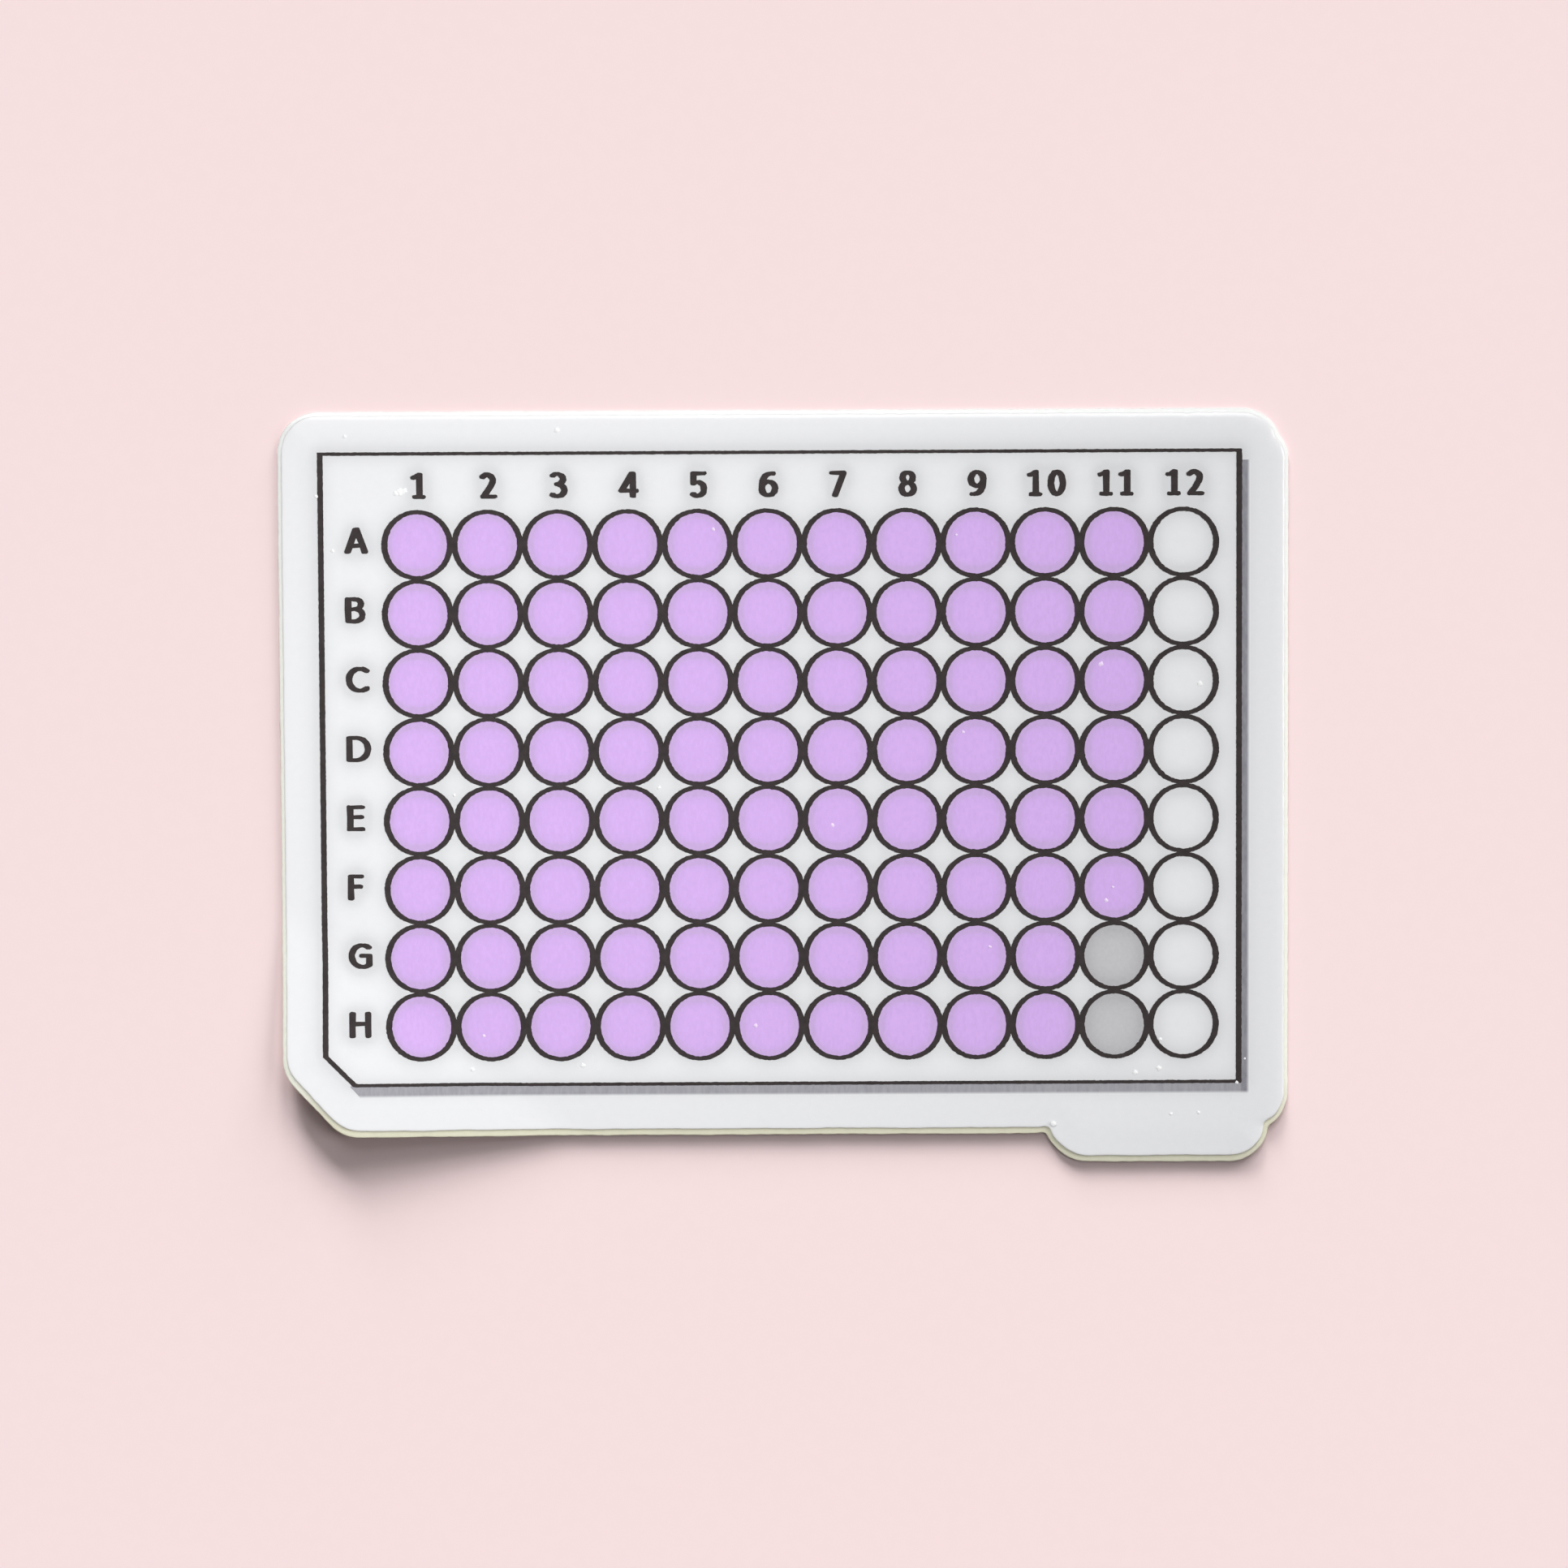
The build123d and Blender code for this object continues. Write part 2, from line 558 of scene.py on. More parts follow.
# The sides whose rims are eased, and how squarely a rim faces one of them to be eased in full
UPPER_RIGHT = Vector((1.0, 1.0)).normalized()
EASED_SIDES = (UPPER_RIGHT, -UPPER_RIGHT)
FULLY_EASED = 0.7
RAGGED_INSET = 0.1  # rows nearer to the outline than this are ragged

# Rims from underside to face: how far in from the outline a row runs, its height over the layer's
# underside, and how much lower it lies along the upper right sides and along the lower left ones
LINER_RIM = (
    (0.05, 0.0, 0.0, 0.0),
    (0.0, 0.03, 0.0, 0.0),
    (-0.01, 0.1, 0.055, 0.03),
    (0.0, 0.18, 0.09, 0.055),
    (0.02, 0.225, 0.105, 0.07),
    (0.07, 0.25, 0.105, 0.075),
    (0.18, 0.25, 0.06, 0.065),
    (0.3, 0.25, 0.02, 0.045),
    (0.5, 0.25, 0.0, 0.015),
    (0.65, 0.25, 0.0, 0.0),
    (0.85, 0.25, 0.0, 0.0),
)
FILM_RIM = (
    (0.05, 0.0, 0.0, 0.0),
    (0.01, 0.03, 0.0, 0.0),
    (0.0, 0.1, 0.04, 0.02),
    (0.0, 0.2, 0.12, 0.06),
    (0.015, 0.25, 0.155, 0.08),
    (0.05, 0.275, 0.16, 0.086),
    (0.1, 0.29, 0.15, 0.088),
    (0.18, 0.297, 0.127, 0.087),
    (0.3, 0.3, 0.096, 0.083),
    (0.5, 0.3, 0.058, 0.075),
    (0.75, 0.3, 0.029, 0.063),
    (1.05, 0.3, 0.012, 0.048),
    (1.4, 0.3, 0.004, 0.03),
    (1.8, 0.3, 0.0, 0.012),
    (2.1, 0.3, 0.0, 0.003),
    (2.4, 0.3, 0.0, 0.0),
)


def make_liner(material):
    """The backing, whose rim the cut bent down."""
    outline = cut_line(LINER_MARGIN, BOTTOM_ALLOWANCE)
    liner = layer(
        "liner_sheet",
        outline,
        cut_faults(outline, seed=1.7, nicks=LINER_NICKS),
        LINER_RIM,
        face_spacing=1.0,
        roughness=0.03,
        seed=11.0,
        material=material,
    )
    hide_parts("release_liner")


def make_film(material):
    """The face film, whose face rolls off towards its cut edges."""
    outline = cut_line(FILM_MARGIN, BOTTOM_ALLOWANCE - FILM_SHRINKAGE)
    film = layer(
        "film_sheet",
        outline,
        cut_faults(outline, seed=4.9, nicks=FILM_NICKS),
        [(inset, LINER_THICKNESS + height, *dips) for inset, height, *dips in FILM_RIM],
        face_spacing=0.3,
        roughness=0.02,
        seed=23.0,
        material=material,
    )
    mark_ink_near(film)
    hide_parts("face_film")


# ---------------------------------------------------------------- the print

def well_places():
    """The middle of each well: places across for the columns, and up for the rows."""
    columns = []
    for index in range(COLUMN_COUNT):
        drift = COLUMN_DRIFT * math.sin(math.pi * index / (COLUMN_COUNT - 1))
        columns.append(FRAME_LEFT + FIRST_WELL[0] + WELL_PITCH[0] * index + drift)
    rows = [FRAME_TOP - FIRST_WELL[1] - WELL_PITCH[1] * index for index in range(ROW_COUNT)]
    return columns, rows


COLUMNS, ROWS = well_places()


def ring(column, row):
    """One well's outline as a region."""
    centre = (COLUMNS[column], ROWS[row])
    return [ellipse(centre, RING_OUTER, count=150), ellipse(centre, RING_INNER, count=130)]


def frame_line():
    """The frame's line as a region: its outer and inner loops, with the lower left corner cut."""

    def loop(wide, high, cut):
        """The frame's outline, drawn in by the line's width and height."""
        left = FRAME_LEFT + wide
        right = FRAME_RIGHT - wide
        top = FRAME_TOP - high
        bottom = FRAME_BOTTOM + high
        corners = [(left, top), (left, bottom + cut), (left + cut, bottom), (right, bottom), (right, top)]
        return evenly([Vector(corner) for corner in corners], FRAME_LINE_STEP)

    diagonal = math.hypot(LINE_WIDE, LINE_HIGH) - LINE_WIDE - LINE_HIGH
    return [loop(0.0, 0.0, CORNER_CUT), loop(LINE_WIDE, LINE_HIGH, CORNER_CUT + diagonal)]


# The pen's curves: degrees between an arc's points, and steps between a smooth line's given points
BOW_STEP = 15
SWAY_STEPS = 6


def bow(x, y, across, up, start, end):
    """Points along part of an ellipse, in degrees, counter-clockwise if end is above start."""
    steps = max(3, round(abs(end - start) / BOW_STEP))
    turns = [math.radians(start + (end - start) * step / steps) for step in range(steps + 1)]
    return [(x + across * math.cos(turn), y + up * math.sin(turn)) for turn in turns]


def sway(*points):
    """Points along a smooth line through the given ones."""
    ends = [points[0]] + list(points) + [points[-1]]
    line = [points[0]]
    for before, start, end, after in zip(ends, ends[1:], ends[2:], ends[3:]):
        for step in range(1, SWAY_STEPS + 1):
            t = step / SWAY_STEPS
            line.append(tuple(
                0.5 * (
                    2 * q
                    + (r - p) * t
                    + (2 * p - 5 * q + 4 * r - s) * t**2
                    + (3 * q - p - 3 * r + s) * t**3
                )
                for p, q, r, s in zip(before, start, end, after)
            ))
    return line


# Each character: its width in millimetres, and the pen's strokes in a box one unit wide and high
CHARACTERS = {
    "0": (1.39, [bow(0.5, 0.5, 0.5, 0.5, 0, 360)]),
    "1": (1.20, [[(0.62, 1), (0.62, 0)], [(0.2, 0), (0.97, 0)], sway((0, 0.87), (0.3, 0.9), (0.62, 1))]),
    "2": (1.38, [sway((0, 0.88), (0.42, 1), (0.88, 0.78), (0.62, 0.4), (0.08, 0.02)), [(0.08, 0), (1, 0)]]),
    "3": (1.38, [bow(0.4, 0.775, 0.5, 0.225, 138, -90) + bow(0.4, 0.275, 0.6, 0.275, 90, -132)]),
    "4": (1.57, [[(0, 0.23), (0.72, 1)], [(0.8, 1), (0.8, 0)], [(0, 0.23), (1, 0.23)]]),
    "5": (1.32, [[(0.95, 1), (0.04, 1), (0.04, 0.56)], bow(0.4, 0.3, 0.6, 0.31, 128, -132)]),
    "6": (1.49, [
        bow(0.5, 0.31, 0.5, 0.31, 0, 360),
        sway((0.82, 0.98), (0.4, 0.93), (0.08, 0.68), (0, 0.31)),
    ]),
    "7": (1.32, [[(0, 1), (1, 1), (0.24, 0)]]),
    "8": (1.42, [bow(0.5, 0.77, 0.42, 0.23, 0, 360), bow(0.5, 0.27, 0.5, 0.27, 0, 360)]),
    "9": (1.44, [
        bow(0.5, 0.69, 0.5, 0.31, 0, 360),
        sway((0.16, 0.02), (0.6, 0.07), (0.92, 0.32), (1, 0.69)),
    ]),
    "A": (1.79, [[(0, 0), (0.47, 1)], [(1, 0), (0.53, 1)], [(0.18, 0.27), (0.82, 0.27)]]),
    "B": (1.57, [
        [(0, 0), (0, 1)],
        [(0, 1)] + bow(0.48, 0.775, 0.42, 0.225, 90, -90) + [(0, 0.55)],
        [(0, 0.55)] + bow(0.5, 0.275, 0.5, 0.275, 90, -90) + [(0, 0)],
    ]),
    "C": (1.83, [bow(0.62, 0.5, 0.62, 0.5, 52, 308)]),
    "D": (1.89, [[(0, 0), (0, 1)], [(0, 1)] + bow(0.42, 0.5, 0.58, 0.5, 90, -90) + [(0, 0)]]),
    "E": (1.37, [[(1, 1), (0, 1), (0, 0), (1, 0)], [(0, 0.55), (0.93, 0.55)]]),
    "F": (1.23, [[(1, 1), (0, 1), (0, 0)], [(0, 0.53), (0.93, 0.53)]]),
    "G": (1.83, [bow(0.6, 0.5, 0.6, 0.5, 52, 306), [(1, 0.1), (1, 0.52), (0.6, 0.52)]]),
    "H": (1.69, [[(0, 0), (0, 1)], [(1, 0), (1, 1)], [(0, 0.54), (1, 0.54)]]),
}


def pen_mark(x, y):
    """The pen's print at one spot: a rounded box, wider than high."""
    count = 20
    roundness = 0.75  # 1 gives an ellipse, and less gives a squarer shape
    mark = []
    for index in range(count):
        turn = 2 * math.pi * index / count
        wide = math.copysign(abs(math.cos(turn)) ** roundness, math.cos(turn)) * PEN_WIDE / 2
        high = math.copysign(abs(math.sin(turn)) ** roundness, math.sin(turn)) * PEN_HIGH / 2
        mark.append(Vector((x + wide, y + high)))
    return mark


def rims(flat, triangles):
    """The loops that bound the triangles, the longest first."""
    following = dict(open_edges(triangles))
    loops = []
    while following:
        start = min(following)
        corner = following.pop(start)
        loop = [flat[start]]
        while corner != start:
            loop.append(flat[corner])
            corner = following.pop(corner)
        loops.append(loop)
    return sorted(loops, key=len, reverse=True)


def character(symbol, left, middle):
    """One label character as a region."""
    width, strokes = CHARACTERS[symbol]
    base = middle - LABEL_HEIGHT / 2 + PEN_HIGH / 2
    marks = []
    for stroke in strokes:
        spots = [
            (left + PEN_WIDE / 2 + u * (width - PEN_WIDE), base + v * (LABEL_HEIGHT - PEN_HIGH))
            for u, v in stroke
        ]
        for start, end in zip(spots, spots[1:]):
            swept = pen_mark(*start) + pen_mark(*end)
            marks.append([[swept[index] for index in convex_hull_2d(swept)]])
    loops = rims(*fill(marks))
    return [loops[0]] + [loop[::-1] for loop in loops[1:]]


def labels():
    """All the numbers and letters as regions."""
    regions = []
    for number, column in enumerate(COLUMNS, 1):
        symbols = str(number)
        width = sum(CHARACTERS[symbol][0] for symbol in symbols) + DIGIT_GAP * (len(symbols) - 1)
        left = column + NUMBER_SHIFT - width / 2
        for symbol in symbols:
            regions.append(character(symbol, left, FRAME_TOP - NUMBER_DROP))
            left += CHARACTERS[symbol][0] + DIGIT_GAP
    for index, symbol in enumerate("ABCDEFGH"):
        middle = ROWS[0] + LETTER_RISE - LETTER_PITCH * index
        regions.append(character(symbol, FRAME_LEFT + LETTER_INSET, middle))
    return regions


RINGS = [ring(column, row) for column in range(COLUMN_COUNT) for row in range(ROW_COUNT)]
FRAME_LINE = frame_line()
LABELS = labels()


def ink_spots():
    """Points spread evenly along the middle of the rings, and along the frame's line and the labels."""
    mid_radii = [(outer + inner) / 2 for outer, inner in zip(RING_OUTER, RING_INNER)]
    middles = [ellipse((column, row), mid_radii, count=85) for column in COLUMNS for row in ROWS]
    others = [evenly(region[0], INK_SPOT_GAP) for region in [FRAME_LINE] + LABELS]
    points = [point for loop in middles + others for point in loop]
    tree = KDTree(len(points))
    for index, point in enumerate(points):
        tree.insert(point.to_3d(), index)
    tree.balance()
    return tree


def mark_ink_near(piece):
    """Gives each point from 0 to 1 for how much line ink is near it, because light scatters under the ink."""
    tree = ink_spots()
    farthest = 4 * INK_SCATTER
    near = piece.data.attributes.new("ink_near", "FLOAT", "POINT")
    for vertex, entry in zip(piece.data.vertices, near.data):
        found = tree.find_range((vertex.co / MM).xy.to_3d(), farthest)
        amount = sum(math.exp(-distance / INK_SCATTER) for _, _, distance in found)
        entry.value = min(1.0, amount / INK_NEAR_FULL)


def make_lines(material):
    """The rings, the labels and the frame's line, whose straight edges came out cleaner."""
    rough = [
        [roughened(loop, RING_ROUGHNESS, INK_EDGE_PITCH, seed=2.0) for loop in region]
        for region in RINGS + LABELS
    ]
    rough.append([roughened(loop, FRAME_ROUGHNESS, INK_EDGE_PITCH, seed=2.0) for loop in FRAME_LINE])
    slab("ink_lines", *fill(rough), LINE_INK, material)


# Loops of spare points in a well's disc, which carry its shade: share of its radius, and count
DISC_LOOPS = ((0.93, 48), (0.87, 48), (0.79, 40), (0.69, 32), (0.5, 16), (0.24, 8))


def make_wells(name, wells, material):
    """The coloured discs, which reach a little way under their rings."""
    regions = []
    spares = []
    for column, row in wells:
        centre = (COLUMNS[column], ROWS[row])
        regions.append([ellipse(centre, WELL_FILL, count=48)])
        for share, count in DISC_LOOPS:
            spares += ellipse(centre, (WELL_FILL[0] * share, WELL_FILL[1] * share), count)
    discs = slab(name, *fill(regions, spares), WELL_INK, material)
    mark_ink_near(discs)


def make_drop_shadow(material):
    """The grey strip that the frame seems to cast along its lower and right sides, with its blurred rim."""
    right = FRAME_RIGHT + SHADOW_RIGHT + SHADOW_BLUR
    bottom = FRAME_BOTTOM - SHADOW_DOWN - SHADOW_BLUR
    top = FRAME_TOP - SHADOW_START
    left = FRAME_LEFT + SHADOW_RIGHT
    inner_right = FRAME_RIGHT - LINE_WIDE / 2
    inner_bottom = FRAME_BOTTOM + LINE_HIGH / 2
    corners = [
        (right, top),
        (inner_right, top),
        (inner_right, inner_bottom),
        (left + CORNER_CUT - SHADOW_DOWN - LINE_HIGH / 2, inner_bottom),
        (left + CORNER_CUT + SHADOW_BLUR / 2, bottom),
        (right, bottom),
    ]
    loop = evenly([Vector(corner) for corner in corners], SHADOW_STEP)
    region = [roughened(loop, SHADOW_ROUGHNESS, SHADOW_EDGE_PITCH, seed=5.0)]
    slab("ink_drop_shadow", *fill([region]), SHADOW_INK, material)


# Specks caught under the laminate: in from the frame's left, down from its top, radius
SPECKS_ON_WHITE = (
    (6.2, 2.97, 0.27),
    (6.55, 2.93, 0.2),
    (5.9, 3.1, 0.18),
    (66.5, 17.7, 0.19),
    (63.4, 46.9, 0.2),
    (61.6, 47.2, 0.19),
    (19.7, 46.5, 0.17),
    (11.3, 46.8, 0.14),
    (16.5, 40.8, 0.1),
    (55.4, 51.1, 0.2),
    (25.6, 25.4, 0.14),
    (18.1, -1.6, 0.19),
    (2.1, -1.2, 0.12),
    (-0.1, 3.3, 0.13),
    (63.5, 44.7, 0.12),
    (69.3, 48.0, 0.13),
    (69.9, 46.2, 0.08),
    (64.3, 50.4, 0.12),
    (66.4, 50.3, 0.12),
    (10.1, 25.9, 0.1),
    (1.1, 7.4, 0.12),
)
SPECKS_ON_COLOUR = (
    (32.8, 43.5, 0.16),
    (59.0, 16.2, 0.18),
    (29.8, 5.9, 0.13),
    (59.4, 34.1, 0.15),
    (50.6, 37.6, 0.12),
    (12.2, 44.2, 0.13),
    (48.6, 21.3, 0.12),
    (38.7, 28.3, 0.14),
    (48.1, 6.4, 0.1),
    (59.9, 33.1, 0.1),
)


# A speck's dome from root to top: share of its radius, and height over the film
SPECK_DOME = ((1.0, PRINT_ROOT), (1.0, 0.024), (0.8, 0.034), (0.55, 0.05), (0.28, 0.062))


def make_specks(name, specks, material):
    """Small uneven domes where dust holds the laminate up."""
    vertices = []
    faces = []
    around = 16
    unevenness = 0.5
    for number, (across, down, radius) in enumerate(specks):
        centre = on_print(across, down)
        first = len(vertices)
        for share, height in SPECK_DOME:
            for index in range(around):
                turn = 2 * math.pi * index / around
                spot = Vector((math.cos(turn), math.sin(turn)))
                reach = radius * share * (1 + unevenness * waver(spot, pitch=0.9, seed=3.0 + number))
                vertices.append(place(centre + spot * reach, FILM_TOP + height))
        for row in range(len(SPECK_DOME) - 1):
            for index in range(around):
                below = first + row * around
                after = (index + 1) % around
                faces.append((below + index, below + after, below + around + after, below + around + index))
        faces.append(tuple(range(first, first + around))[::-1])
        faces.append(tuple(range(len(vertices) - around, len(vertices))))
    add_piece(name, vertices, faces, material)


# ---------------------------------------------------------------- materials

def new_material(name):
    """A new material with its nodes, which hold a plain surface shader, and its links."""
    material = bpy.data.materials.new(name)
    material.use_nodes = True
    return material, material.node_tree.nodes, material.node_tree.links


def object_noise(nodes, links, scale, detail, stretch=EVEN):
    """Noise in the object's own space. The scale is in features a metre."""
    coordinates = nodes.new("ShaderNodeTexCoord")
    mapping = nodes.new("ShaderNodeMapping")
    mapping.inputs["Scale"].default_value = stretch
    texture = nodes.new("ShaderNodeTexNoise")
    texture.inputs["Scale"].default_value = scale
    texture.inputs["Detail"].default_value = detail
    links.new(coordinates.outputs["Object"], mapping.inputs["Vector"])
    links.new(mapping.outputs["Vector"], texture.inputs["Vector"])
    return texture.outputs["Fac"]


def object_axes(nodes, links):
    """The object's own X, Y and Z at each spot, in metres."""
    coordinates = nodes.new("ShaderNodeTexCoord")
    axes = nodes.new("ShaderNodeSeparateXYZ")
    links.new(coordinates.outputs["Object"], axes.inputs["Vector"])
    return axes.outputs


def ramped(nodes, links, factor, stops):
    """The colour that the factor picks from a ramp. A stop is a position and a colour."""
    ramp = nodes.new("ShaderNodeValToRGB")
    elements = ramp.color_ramp.elements
    for _ in stops[2:]:
        elements.new(0.5)
    for element, (position, colour) in zip(elements, stops):
        element.position = position
        element.color = (*colour, 1.0)
    links.new(factor, ramp.inputs["Fac"])
    return ramp.outputs["Color"]


def mapped(nodes, links, value, before, after=(0.0, 1.0), interpolation="LINEAR"):
    """The value with the range before mapped to the range after."""
    remap = nodes.new("ShaderNodeMapRange")
    remap.interpolation_type = interpolation
    remap.inputs["From Min"].default_value = before[0]
    remap.inputs["From Max"].default_value = before[1]
    remap.inputs["To Min"].default_value = after[0]
    remap.inputs["To Max"].default_value = after[1]
    links.new(value, remap.inputs["Value"])
    return remap.outputs["Result"]


def colour_between(nodes, links, factor, low, high):
    """A colour from low to high as the noise rises through its middle."""
    return ramped(nodes, links, factor, list(zip(NOISE_MIDDLE, (low, high))))


def value_between(nodes, links, factor, low, high):
    """A value from low to high as the noise rises through its middle."""
    return mapped(nodes, links, factor, NOISE_MIDDLE, (low, high))


def fade(nodes, links, value, start, end):
    """A value that runs smoothly from 0 at start to 1 at end."""
    return mapped(nodes, links, value, (start, end), interpolation="SMOOTHSTEP")


def product(nodes, links, first, second):
    """Two values multiplied."""
    maths = nodes.new("ShaderNodeMath")
    maths.operation = "MULTIPLY"
    links.new(first, maths.inputs[0])
    links.new(second, maths.inputs[1])
    return maths.outputs["Value"]


def colour_product(nodes, links, first, second):
    """Two colours multiplied, channel by channel."""
    maths = nodes.new("ShaderNodeVectorMath")
    maths.operation = "MULTIPLY"
    links.new(first, maths.inputs[0])
    links.new(second, maths.inputs[1])
    return maths.outputs["Vector"]


def bumped(nodes, links, height, strength, distance):
    """The surface's direction once the height raises it by up to the distance, in metres."""
    bump = nodes.new("ShaderNodeBump")
    bump.inputs["Strength"].default_value = strength
    bump.inputs["Distance"].default_value = distance
    links.new(height, bump.inputs["Height"])
    return bump.outputs["Normal"]


def shade(colour, amount):
    """The colour made darker or paler."""
    return tuple(channel * amount for channel in colour)


def ink_shade(nodes, links, colour, stops):
    """The colour times a shade for the line ink near it. A stop is how much ink is near, and the shade."""
    near = nodes.new("ShaderNodeAttribute")
    near.attribute_name = "ink_near"
    return colour_product(nodes, links, colour, ramped(nodes, links, near.outputs["Fac"], stops))


def add_laminate(nodes, links):
    """The clear laminate's soft gloss and slight orange peel."""
    shader = nodes["Principled BSDF"]
    gloss_noise = object_noise(nodes, links, GLOSS_PATCHES, detail=2.0)
    links.new(value_between(nodes, links, gloss_noise, *LAMINATE_ROUGHNESS), shader.inputs["Roughness"])
    peel = object_noise(nodes, links, ORANGE_PEEL, detail=2.0)
    links.new(bumped(nodes, links, peel, PEEL_STRENGTH, PEEL_DEPTH), shader.inputs["Normal"])
    shader.inputs["IOR"].default_value = LAMINATE_IOR


def laminated(name, colour, mottle, grain, stretch=EVEN, ink_stops=()):
    """Ink or white film under the clear laminate, faintly mottled, and darker beside the line ink."""
    material, nodes, links = new_material(name)
    print_noise = object_noise(nodes, links, grain, detail=4.0, stretch=stretch)
    tint = colour_between(nodes, links, print_noise, shade(colour, 1 - mottle), shade(colour, 1 + mottle))
    if ink_stops:
        tint = ink_shade(nodes, links, tint, ink_stops)
    links.new(tint, nodes["Principled BSDF"].inputs["Base Color"])
    add_laminate(nodes, links)
    return material


def drop_shadow_material():
    """Streaky grey that blurs into the white film at its right and lower rims."""
    material, nodes, links = new_material("shadow_ink")
    axes = object_axes(nodes, links)
    frame_right = FRAME_RIGHT * MM
    right = (FRAME_RIGHT + SHADOW_RIGHT) * MM
    bottom = (FRAME_BOTTOM - SHADOW_DOWN) * MM
    blur = SHADOW_BLUR * MM
    across = fade(nodes, links, axes["X"], right + blur, right - blur)
    down = fade(nodes, links, axes["Y"], bottom - blur, bottom + blur)
    streaks = object_noise(nodes, links, INK_GRAIN, detail=4.0, stretch=SHADOW_STREAKS)
    right_strip = fade(nodes, links, axes["X"], frame_right - blur, frame_right)
    strength = mapped(nodes, links, right_strip, (0.0, 1.0), (BOTTOM_STRIP_STRENGTH, 1.0))
    depth = product(nodes, links, across, down)
    depth = product(nodes, links, depth, strength)
    depth = product(nodes, links, depth, value_between(nodes, links, streaks, *STREAK_STRENGTHS))
    tint = ramped(nodes, links, depth, ((0.0, WHITE_FILM), (1.0, SHADOW_GREY)))
    links.new(tint, nodes["Principled BSDF"].inputs["Base Color"])
    add_laminate(nodes, links)
    return material


def liner_material():
    """Coated paper with a fine grain and a fibrous cut edge, with painted shade that makes it darker and tan
    along its lower side and painted light that makes it whiter along its upper side.
    """
    material, nodes, links = new_material("liner_paper")
    shader = nodes["Principled BSDF"]
    low_to_high = (SHEET_LOW.y * MM, SHEET_HIGH.y * MM)
    height = mapped(nodes, links, object_axes(nodes, links)["Y"], low_to_high)
    # Painted shade and light: darker and tan towards the lower side, whiter towards the upper side
    painted_shade = ramped(nodes, links, height, LINER_COLOURS_AND_SHADE)
    fibre = object_noise(nodes, links, PAPER_FIBRE, detail=6.0, stretch=PAPER_LAYERS)
    grain = colour_between(nodes, links, fibre, *FIBRE_SHADES)
    links.new(colour_product(nodes, links, painted_shade, grain), shader.inputs["Base Color"])
    links.new(value_between(nodes, links, fibre, *LINER_ROUGHNESS), shader.inputs["Roughness"])
    links.new(bumped(nodes, links, fibre, FIBRE_STRENGTH, FIBRE_DEPTH), shader.inputs["Normal"])
    return material


def floor_material():
    """Smooth pink card."""
    material, nodes, links = new_material("floor_card")
    shader = nodes["Principled BSDF"]
    grain = object_noise(nodes, links, CARD_GRAIN, detail=3.0)
    darker = shade(FLOOR_PINK, 1 - FLOOR_MOTTLE)
    paler = shade(FLOOR_PINK, 1 + FLOOR_MOTTLE)
    links.new(colour_between(nodes, links, grain, darker, paler), shader.inputs["Base Color"])
    shader.inputs["Roughness"].default_value = FLOOR_ROUGHNESS
    shader.inputs["Specular IOR Level"].default_value = 0.0
    return material


# ---------------------------------------------------------------- studio

def make_floor():
    """A plain level floor just under the sheet."""
    mesh = bpy.data.meshes.new("floor")
    signs = ((-1, -1), (1, -1), (1, 1), (-1, 1))
    corners = [(x * FLOOR_REACH * MM, y * FLOOR_REACH * MM, -FLOOR_GAP * MM) for x, y in signs]
    mesh.from_pydata(corners, [], [(0, 1, 2, 3)])
    mesh.materials.append(floor_material())
    floor = bpy.data.objects.new("floor", mesh)
    bpy.context.scene.collection.objects.link(floor)
    return floor


def lit_group(name, lit):
    """A collection of the things that some lamps light."""
    group = bpy.data.collections.new(name)
    for thing in lit:
        group.objects.link(thing)
    return group


def hang(name, lamp, toward, lit):
    """Puts a lamp in the scene that shines from the given direction on one group."""
    holder = bpy.data.objects.new(name, lamp)
    holder.rotation_mode = "QUATERNION"
    holder.rotation_quaternion = toward.to_track_quat("Z", "Y")
    holder.light_linking.receiver_collection = lit
    bpy.context.scene.collection.objects.link(holder)
    return holder


def sun(lit, name, heading, elevation, angle, share):
    """A distant soft lamp, at a heading that turns from +Y towards +X."""
    lamp = bpy.data.lights.new(name, "SUN")
    lamp.angle = math.radians(angle)
    rise = math.radians(elevation)
    turn = math.radians(heading)
    lamp.energy = share * math.pi / math.sin(rise)
    toward = Vector((math.sin(turn) * math.cos(rise), math.cos(turn) * math.cos(rise), math.sin(rise)))
    hang(name, lamp, toward, lit)


def softbox(lit):
    """A near square lamp that faces the object, so that one side of it is lit more than the other."""
    lamp = bpy.data.lights.new("near_softbox", "AREA")
    lamp.size = SOFTBOX_SIZE * MM
    toward = Vector(SOFTBOX_SPOT) * MM
    lamp.energy = SOFTBOX_SHARE * math.pi**2 * toward.length**3 / toward.z
    holder = hang(lamp.name, lamp, toward, lit)
    holder.location = toward
    holder.visible_camera = False
    holder.visible_glossy = False


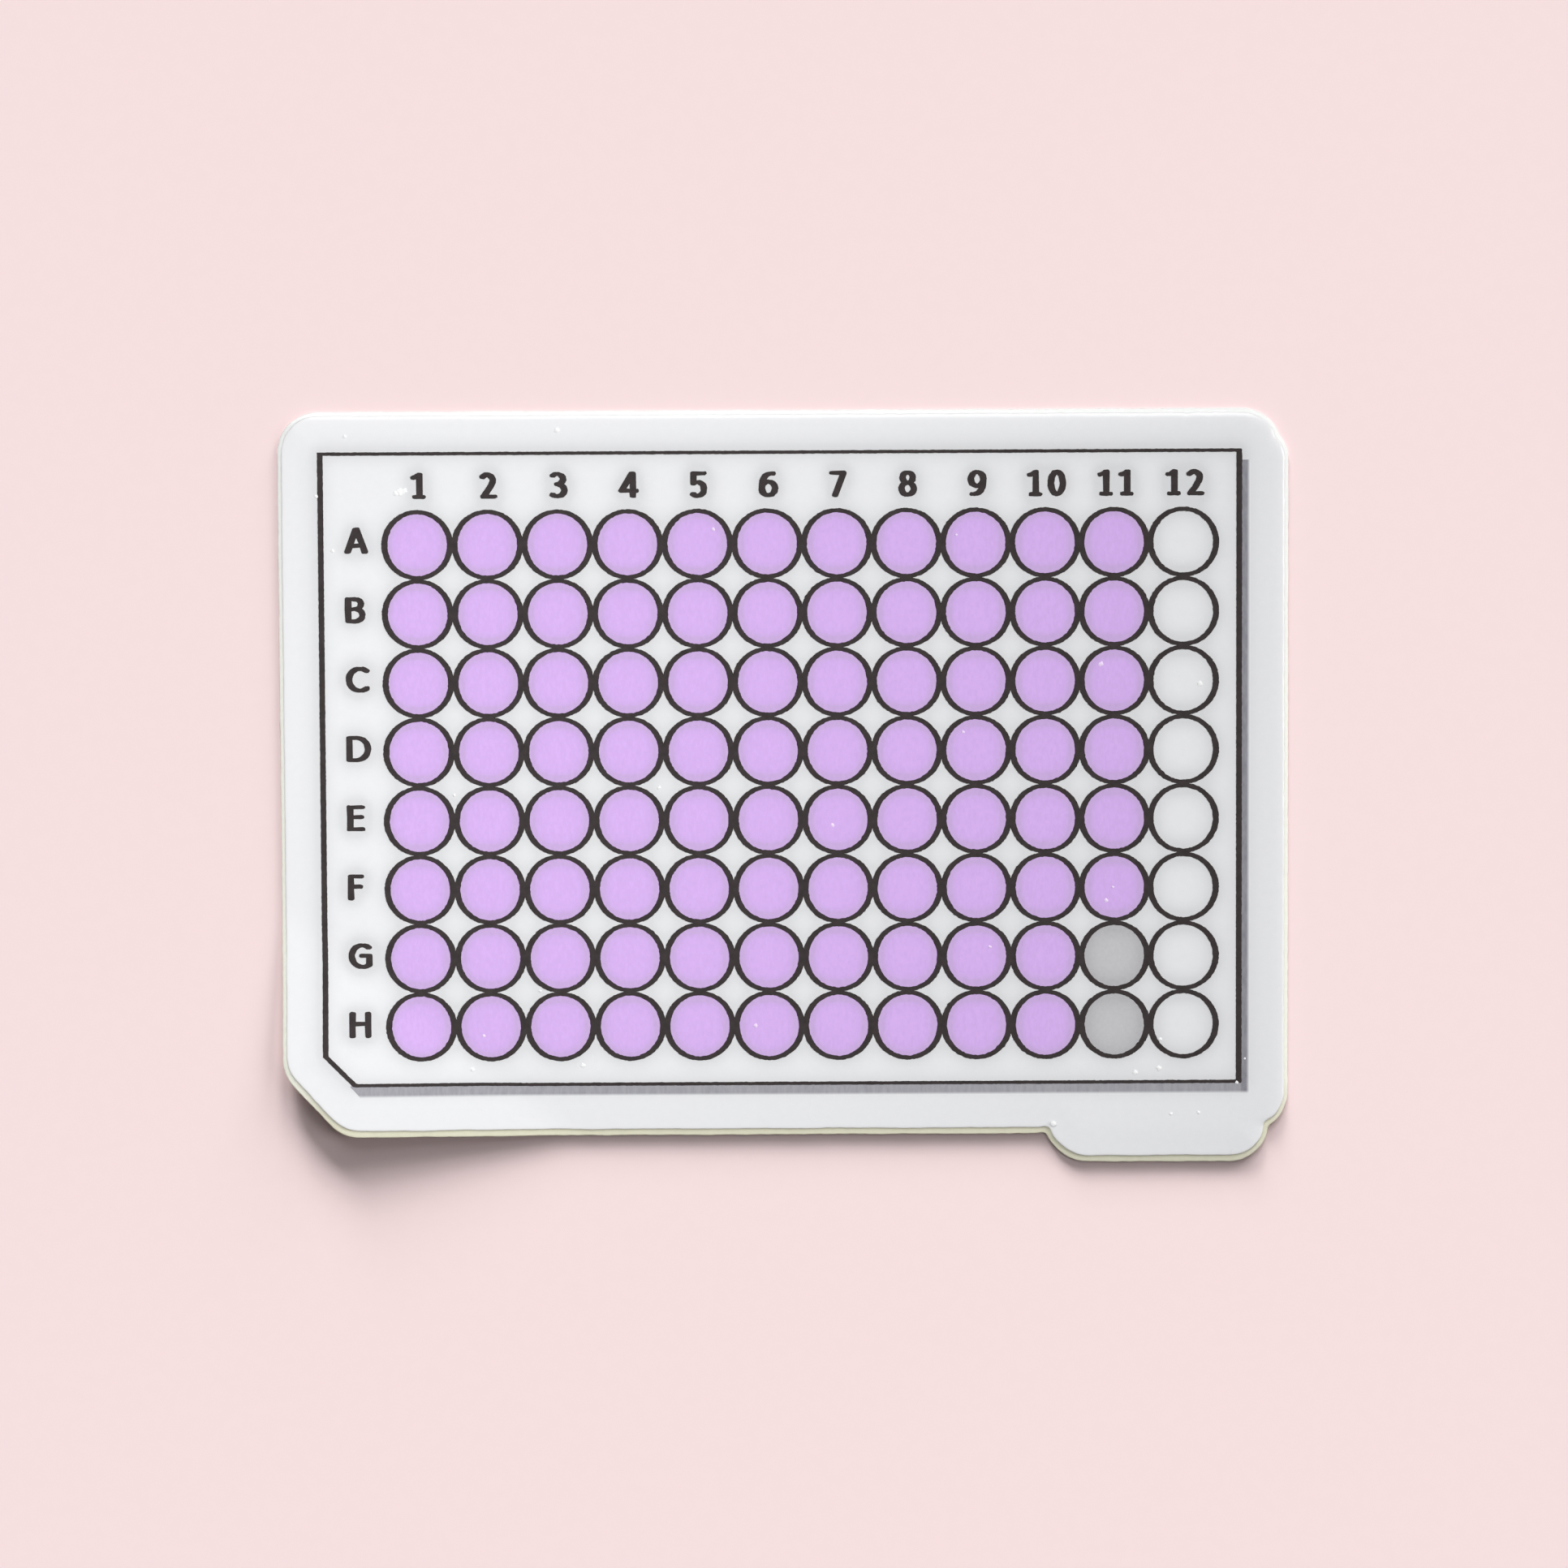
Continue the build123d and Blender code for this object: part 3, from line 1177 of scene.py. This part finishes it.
def make_lights(floor):
    """Lamps for the sticker and lamps for the floor, with one pale world for both."""
    on_sticker = lit_group("lit_sticker", [piece for piece in bpy.data.objects if piece is not floor])
    for settings in STICKER_SUNS:
        sun(on_sticker, *settings)
    softbox(on_sticker)
    on_floor = lit_group("lit_floor", [floor])
    for settings in FLOOR_SUNS:
        sun(on_floor, *settings)
    world = bpy.data.worlds.new("studio")
    world.use_nodes = True
    background = world.node_tree.nodes["Background"]
    background.inputs["Color"].default_value = WORLD_COLOUR
    background.inputs["Strength"].default_value = WORLD_STRENGTH
    bpy.context.scene.world = world


def make_camera():
    """Looks almost straight down, a little from the top side of the print."""
    back = Vector((0.0, math.sin(CAMERA_LEAN), math.cos(CAMERA_LEAN)))
    camera = bpy.data.cameras.new("camera")
    camera.lens = CAMERA_LENS
    camera.sensor_width = CAMERA_SENSOR
    camera.clip_start = 0.01
    camera.clip_end = 10.0
    holder = bpy.data.objects.new("camera", camera)
    holder.location = (Vector(CAMERA_AIM) + back * CAMERA_DISTANCE) * MM
    holder.rotation_euler = (-CAMERA_LEAN, 0.0, CAMERA_ROLL)
    bpy.context.scene.collection.objects.link(holder)
    bpy.context.scene.camera = holder


# ---------------------------------------------------------------- the whole scene

make_liner(liner_material())
make_film(laminated("white_film", WHITE_FILM, mottle=0.008, grain=FILM_GRAIN, ink_stops=WHITE_STOPS))
make_drop_shadow(drop_shadow_material())
purple = laminated(
    "purple_ink", PURPLE, mottle=0.035, grain=INK_GRAIN, stretch=PURPLE_STREAKS, ink_stops=PURPLE_STOPS
)
make_wells("ink_purple_wells", PURPLE_WELLS, purple)
grey = laminated("grey_ink", GREY, mottle=0.03, grain=INK_GRAIN, ink_stops=WHITE_STOPS)
make_wells("ink_grey_wells", GREY_WELLS, grey)
make_lines(laminated("line_ink", LINE_BLACK, mottle=0.15, grain=FILM_GRAIN))
# The specks' paler colours are painted highlight
white = laminated("speck_white", SPECK_HIGHLIGHT_WHITE, mottle=0.02, grain=FILM_GRAIN)
make_specks("laminate_specks", SPECKS_ON_WHITE, white)
tinted = laminated("speck_tinted", SPECK_HIGHLIGHT_PURPLE, mottle=0.02, grain=FILM_GRAIN)
make_specks("laminate_specks_tinted", SPECKS_ON_COLOUR, tinted)
make_lights(make_floor())
make_camera()
bpy.context.scene.view_settings.view_transform = "Standard"
